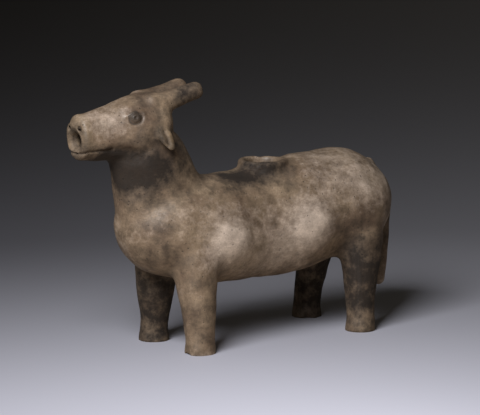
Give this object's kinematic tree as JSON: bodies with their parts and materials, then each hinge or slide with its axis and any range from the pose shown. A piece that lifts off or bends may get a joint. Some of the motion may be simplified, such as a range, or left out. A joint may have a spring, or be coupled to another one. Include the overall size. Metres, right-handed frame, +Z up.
{
  "type": "animal-shaped vessel",
  "caption": "Hand-built hollow earthenware pouring vessel in the shape of a standing horned animal, filled through a collar in the back and poured through the muzzle.",
  "frame": {"origin": "on the ground plane under the middle of the vessel's box, between the four feet", "axes": "+Z up; the head points to -X and the tail to +X; the animal's left side is towards -Y"},
  "size_m": [0.2336, 0.072, 0.1585],
  "materials": {
    "burnished_clay": "burnished grey-brown earthenware, satin, worn pale on the high places",
    "worn_clay": "rubbed pale grey-brown earthenware, nearly matt",
    "dark_clay": "dark brown earthenware pellets, matt"
  },
  "bodies": {
    "root": {"trunk_barrel": "burnished_clay", "breast_dome": "burnished_clay", "rump_dome": "burnished_clay", "neck_tube": "burnished_clay", "head_shell": "burnished_clay", "filler_collar": "burnished_clay", "leg_front_left": "burnished_clay", "leg_front_right": "burnished_clay", "leg_hind_left": "burnished_clay", "leg_hind_right": "burnished_clay", "horn_left": "burnished_clay", "horn_right": "burnished_clay", "tail": "burnished_clay", "muzzle_spout": "worn_clay", "ear_left": "worn_clay", "ear_right": "worn_clay", "eye_left": "dark_clay", "eye_right": "dark_clay"}
  },
  "joints": []
}
